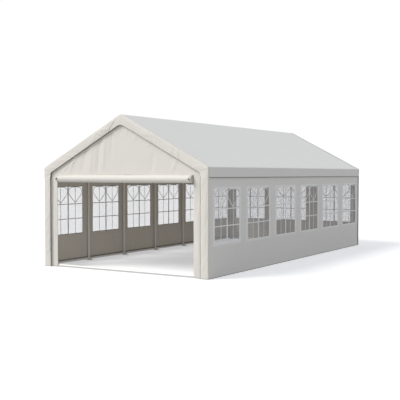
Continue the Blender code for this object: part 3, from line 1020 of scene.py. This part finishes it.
# %% Roof
VALANCE_LOW = 1.899
VALANCE_FLARE = 0.016
profile = rounded_path(
    [(-HALF_W, VALANCE_LOW + PAINTED_SHADE_WIDTH), (-HALF_W, EAVE_Z), (0, RIDGE_Z), (HALF_W, EAVE_Z),
     (HALF_W, VALANCE_LOW + PAINTED_SHADE_WIDTH)], [FOLD_R] * 3, [9, 26, 26, 9], 8)
profile = np.concatenate([[(-HALF_W, VALANCE_LOW)], profile, [(HALF_W, VALANCE_LOW)]])
length_along = np.concatenate([[0], np.cumsum(np.linalg.norm(np.diff(profile, axis=0), axis=1))])
roof_y = stations([WALL_ENDS[0], FRONT_Y, REAR_Y, WALL_ENDS[1]], [1, 150, 1])
u, v = np.meshgrid(roof_y, length_along, indexing="ij")
x = np.broadcast_to(profile[:, 0], u.shape)
z = np.broadcast_to(profile[:, 1], u.shape)
hang = np.clip((EAVE_Z - FOLD_R - z) / (EAVE_Z - FOLD_R - VALANCE_LOW), 0, 1)
slope_share = np.clip(np.abs(x) / HALF_W, 0, 1)
between = np.sin(np.pi * (u - FRONT_Y) / BAY) ** 2 * ((u > FRONT_Y) & (u < REAR_Y))
end_calm = smooth((u - WALL_ENDS[0]) / 0.25) * smooth((WALL_ENDS[1] - u) / 0.25)
on_slope = (hang == 0)
sag = 0.0055 * between * np.sin(np.pi * slope_share) ** 1.0 * on_slope
ripple = waves(u, v, 51, 1.1, 0.0012) * np.sin(np.pi * slope_share) * on_slope
flare = VALANCE_FLARE * hang ** 1.5 * (0.75 + 0.25 * end_calm)
flutter = waves(u, np.zeros_like(v), 52, 0.6, 0.0022) * hang * end_calm
distance_from_hem = np.minimum(v, length_along[-1] - v)
side_out = np.sign(x) * (flare + flutter + hem_step(distance_from_hem) * (hang > 0))
points = np.stack([x + side_out, u, z - sag + ripple], axis=-1)
# painted shade: the valances take the walls' darker cloth, and their lowest band the dark finish, for the
# shadow line under them
upright_cell = (np.abs(profile[:-1, 0]) > HALF_W - 0.004) & (np.abs(profile[1:, 0]) > HALF_W - 0.004)
roof_finish = 2 * upright_cell
roof_finish[[0, -1]] = 4
made = add_sheet(
    "roof_sheet", points, np.stack([u, distance_from_hem], axis=-1),
    [roof_cloth, inside_painted_shade, valance_cloth_painted_shade, inside_painted_shade, painted_shade, painted_shade], finish_of=roof_finish[None, :])
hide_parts("roof_cover")
print("roof sheet:", round(float(length_along[-1]), 3), "by 8.067 m")

# %% [markdown]
# ## The rolled up door
# The door hangs from the gable's lower edge and is rolled up outwards, so at each end the
# layers show as a spiral. It is therefore one real sheet: down from the gable as a short
# tongue, then a spiral that closes in by one layer's pitch each turn. Slow ridges along
# the roll and small puckers beside the straps keep it from looking like a pipe.

# %% Door roll
ROLL_R = 0.077
ROLL_HALF = 1.680
ROLL_Y = FRONT_Y - 0.0518
ROLL_Z = DOOR_HEAD - 0.004 - math.sqrt(ROLL_R ** 2 - 0.020 ** 2)
STRAP_X = 1.650
TURNS = 6.8
LAYER = 0.0095
ROLL_CLOTH_T = 0.0078       # each layer is drawn with the air that lies against it
roll_x = stations([-ROLL_HALF, -1.60, 1.60, ROLL_HALF], [10, 80, 10])
start_angle = math.acos(0.0185 / ROLL_R)
turn = np.linspace(0, TURNS * 2 * np.pi, int(TURNS * 26) + 1)
spiral_r = ROLL_R - LAYER * turn / (2 * np.pi)
angle = start_angle + turn
x, a = np.meshgrid(roll_x, angle, indexing="ij")
radius = np.broadcast_to(spiral_r, x.shape)
outer_layer = smooth(1 - (a - start_angle) / (2.2 * np.pi))
drape = folds(x, a * ROLL_R, scattered(61, 26, (-1.6, 0.1), (1.6, 0.7), 0.6, 0, 0.010, 0.0016))
drape += folds(x, a * ROLL_R, [
    (s * (1.60 - 0.05 * n), 0.05, s * (1.56 - 0.09 * n), 0.50, 0.010, 0.0020)
    for s in (-1, 1) for n in range(4)])
pinch = -0.0030 * np.exp(-((np.abs(x) - STRAP_X) / 0.022) ** 2)
droop = -0.004 * (np.cos(np.pi * x / ROLL_HALF) + 1) / 2
radius = radius + outer_layer * (drape + waves(x, a * ROLL_R, 62, 0.5, 0.0007)) + pinch * (radius / ROLL_R)
points = np.stack([
    x, ROLL_Y + radius * np.cos(a), ROLL_Z + droop + radius * np.sin(a)], axis=-1)
tongue_top = DOOR_HEAD + 0.006
tongue_z = np.linspace(tongue_top, points[0, 0, 2] + 0.004, 4, endpoint=False)
tongue = np.stack(np.broadcast_arrays(
    roll_x[:, None], np.full((1, 4), FRONT_SHEET - 0.0012), tongue_z[None, :]), axis=-1)
points = np.concatenate([tongue, points], axis=1)
steps = np.linalg.norm(np.diff(points[0], axis=0), axis=1)
door_length = np.concatenate([[0], np.cumsum(steps)])
uv = np.stack(np.broadcast_arrays(roll_x[:, None], door_length[None, :]), axis=-1)
made = add_sheet(
    "rolled_door", points, uv, [cream_cloth], thickness=ROLL_CLOTH_T, centre=(0, ROLL_Y, ROLL_Z))
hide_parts("door_roll")
print("door sheet:", 2 * ROLL_HALF, "by", round(float(door_length[-1]), 2), "m, in", TURNS, "turns")

# %% [markdown]
# ## Straps and buckles
# A strap of dark webbing goes round each end of the roll and closes in a small ladder
# buckle at the front. The strap is a flat loop that hugs the roll; the buckle is a
# rectangular ring with a bar across it, made with the same ribbons as the window bars.

# %% Straps
STRAP_WIDTH = 0.025


def strap_loop(x):
    """Flat band around the roll: a rectangle of the band's width and thickness turned
    once round the roll's axis."""
    turn = np.linspace(0, 2 * np.pi, 72, endpoint=False)
    section_x = np.array([-0.5, 0.5, 0.5, -0.5]) * STRAP_WIDTH
    section_r = np.array([0.0, 0.0, 0.0018, 0.0018]) + ROLL_R - 0.0010
    ring_y = ROLL_Y + np.cos(turn)[:, None] * section_r[None, :]
    ring_z = ROLL_Z + np.sin(turn)[:, None] * section_r[None, :]
    return loft(np.stack([np.broadcast_to(x + section_x, ring_y.shape), ring_y, ring_z], axis=-1), True)


def buckle_parts(x):
    """Ring and cross bar standing just in front of the roll."""
    front = ROLL_Y - ROLL_R - 0.0012

    def place(a, b, depth):
        return np.stack([x + a, np.full(np.shape(a), front - depth), ROLL_Z + b], axis=-1)
    frame_path = cut_corners(np.array([(-0.015, -0.013), (0.015, -0.013), (0.015, 0.013), (-0.015, 0.013)]), 2)
    tail = [ribbon(line((0, 0.002), (0.001, -0.055), 8), STRAP_WIDTH * 0.9, (0.0030, 0.0012), place)]
    ring = [
        ribbon(frame_path, 0.0045, (0.0070, 0.0004), place, closed=True),
        ribbon(line((-0.014, 0), (0.014, 0), 6), 0.005, (0.0078, 0.0030), place)]
    return ring, tail


for side, label in ((-1, "left"), (1, "right")):
    ring, tail = buckle_parts(side * STRAP_X)
    points, faces = joined([strap_loop(side * STRAP_X)] + tail)
    uv = np.stack([points[:, 0], np.hypot(points[:, 1], points[:, 2])], axis=1)
    band = turned_out(add_piece(f"{label}_strap_band", points, faces, [webbing], uv, sharp=40))
    points, faces = joined(ring)
    frame_ring = turned_out(
        add_piece(f"{label}_strap_buckle", points, faces, [buckle_plastic], sharp=40))
    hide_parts(f"{label}_door_strap")

# %% [markdown]
# ## Floor, light and camera
# The picture is a product shot: a white floor that fades into a white backdrop, a broad
# light from the front left and above, and soft light from everywhere else. The floor
# glows a little, as an overexposed studio floor does, so the tent's shade stays faint.

# %% Floor
FLOOR_GLOW = (0.375, 0.38, 0.395, 1)
LIGHTING_FLOOR = (0.34, 0.34, 0.335, 1)
LIGHTING_GLOW = (0.235, 0.235, 0.235, 1)
floor_finish = Finish("studio_floor", Roughness=0.9, Specular_IOR_Level=0.1)
tone = floor_finish.blend(floor_finish.noise(0.4, 1.0), (0.79, 0.79, 0.79, 1), (0.82, 0.82, 0.82, 1))
floor_finish.feed(Base_Color=tone, Emission_Color=FLOOR_GLOW, Emission_Strength=1.0)
lighting = floor_finish.node("ShaderNodeBsdfPrincipled", {}, {
    "Base Color": LIGHTING_FLOOR, "Roughness": 1.0, "Specular IOR Level": 0.0,
    "Emission Color": LIGHTING_GLOW, "Emission Strength": 1.0})
camera_ray = floor_finish.node("ShaderNodeLightPath")
shown = floor_finish.node("ShaderNodeMixShader", {}, {
    0: camera_ray, 1: lighting, 2: Wire(floor_finish, floor_finish.shader.outputs[0])})
floor_finish.put(floor_finish.tree.nodes["Material Output"].inputs[0], shown)
reach = 160.0
corner = np.array([(-reach, -reach, 0), (reach, -reach, 0), (reach, reach, 0), (-reach, reach, 0)])
floor_mesh = bpy.data.meshes.new("floor")
floor_mesh.from_pydata(corner.tolist(), [], [(0, 1, 2, 3)])
floor_mesh.materials.append(floor_finish.material)
floor = bpy.data.objects.new("floor", floor_mesh)
bpy.context.scene.collection.objects.link(floor)

# %% Light
world = bpy.data.worlds.new("studio")
world.use_nodes = True
bpy.context.scene.world = world
tree = world.node_tree
backdrop = tree.nodes["Background"]
backdrop.inputs["Color"].default_value = (1.0, 1.0, 1.0, 1.0)
backdrop.inputs["Strength"].default_value = 1.03
soft = tree.nodes.new("ShaderNodeBackground")
soft.inputs["Color"].default_value = (0.965, 0.98, 1.0, 1.0)
soft.inputs["Strength"].default_value = 0.55
seen = tree.nodes.new("ShaderNodeLightPath")
either = tree.nodes.new("ShaderNodeMixShader")
tree.links.new(seen.outputs["Is Camera Ray"], either.inputs[0])
tree.links.new(soft.outputs[0], either.inputs[1])
tree.links.new(backdrop.outputs[0], either.inputs[2])
tree.links.new(either.outputs[0], tree.nodes["World Output"].inputs["Surface"])

key = bpy.data.lights.new("key", "SUN")
key.energy = 2.36
key.angle = math.radians(30)
key.color = (1.0, 0.985, 0.96)
key_object = bpy.data.objects.new("key", key)
bpy.context.scene.collection.objects.link(key_object)
towards = np.array([-0.49, -0.49, 0.71])
from mathutils import Vector
key_object.rotation_euler = Vector(towards).to_track_quat("Z", "Y").to_euler()
bpy.context.scene.view_settings.view_transform = "Standard"

# %% Camera
camera = bpy.data.cameras.new("camera")
camera.sensor_width = 36.0
camera.lens = 67.69
camera.clip_end = 500.0
camera_object = bpy.data.objects.new("camera", camera)
camera_object.location = (9.210, -16.003, 1.974)
camera_object.rotation_euler = (math.radians(88.01), 0.0, math.radians(31.548))
bpy.context.scene.collection.objects.link(camera_object)
bpy.context.scene.camera = camera_object
